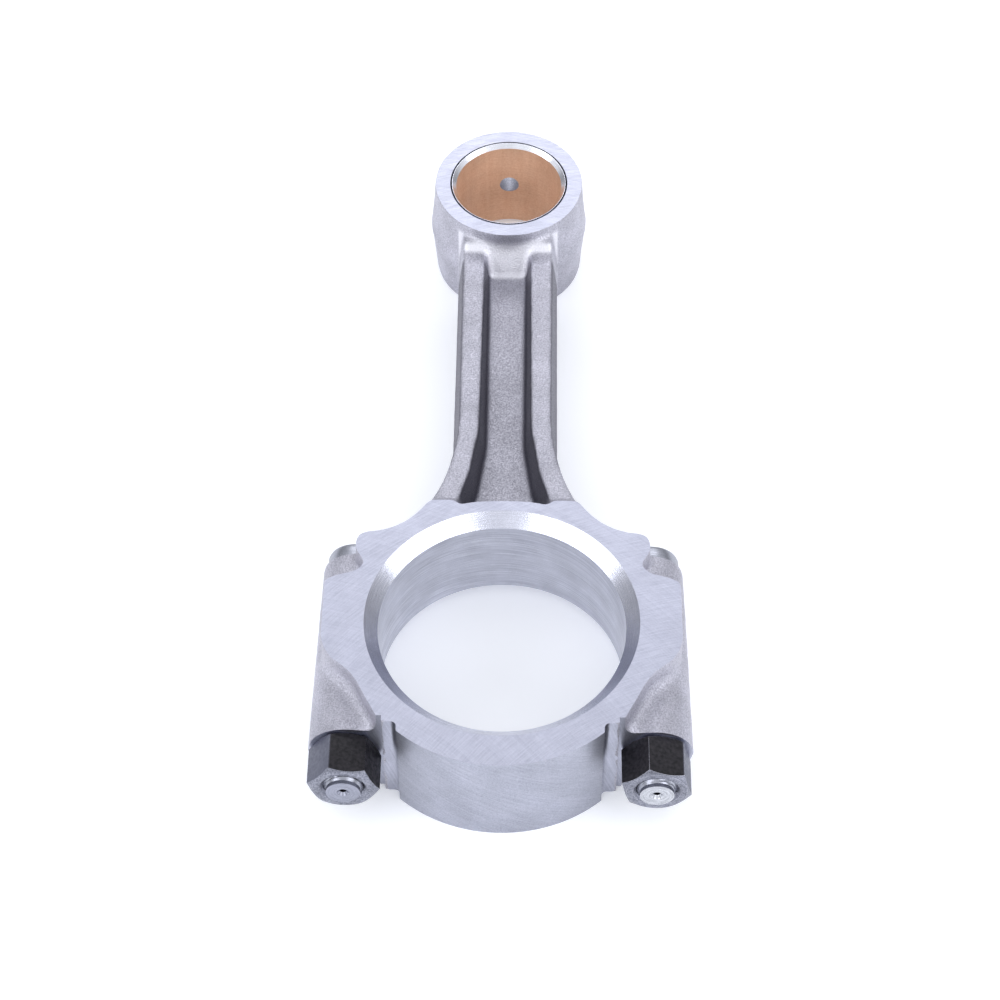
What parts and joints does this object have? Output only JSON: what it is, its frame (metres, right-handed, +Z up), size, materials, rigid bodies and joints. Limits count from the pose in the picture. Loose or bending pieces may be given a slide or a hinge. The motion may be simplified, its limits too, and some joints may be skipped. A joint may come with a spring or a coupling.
{
  "type": "connecting rod",
  "caption": "Drop forged connecting rod with an I section shank, a big end split by a bolted cap, nuts on fitted bolts, and a bronze bushed small end with an oil hole.",
  "frame": {"origin": "centre of the big end bore, half way between the ground faces", "axes": "+Y from the big end to the small end, +Z along both bores, +X to the right when +Y points away and +Z points up"},
  "size_m": [0.0854, 0.1963, 0.028],
  "materials": {
    "forged_steel": "drop forged and blasted, with ground faces and honed bores",
    "bronze": "steel backed bush with a reamed bronze lining",
    "bolt_steel": "ground alloy steel",
    "black_steel": "black oxide, worn bright at the edges"
  },
  "bodies": {
    "root": {"rod": "forged_steel", "cap": "forged_steel", "small_end_bush": "bronze", "bolt_left": "bolt_steel", "bolt_right": "bolt_steel", "nut_left": "black_steel", "nut_right": "black_steel"}
  },
  "joints": []
}
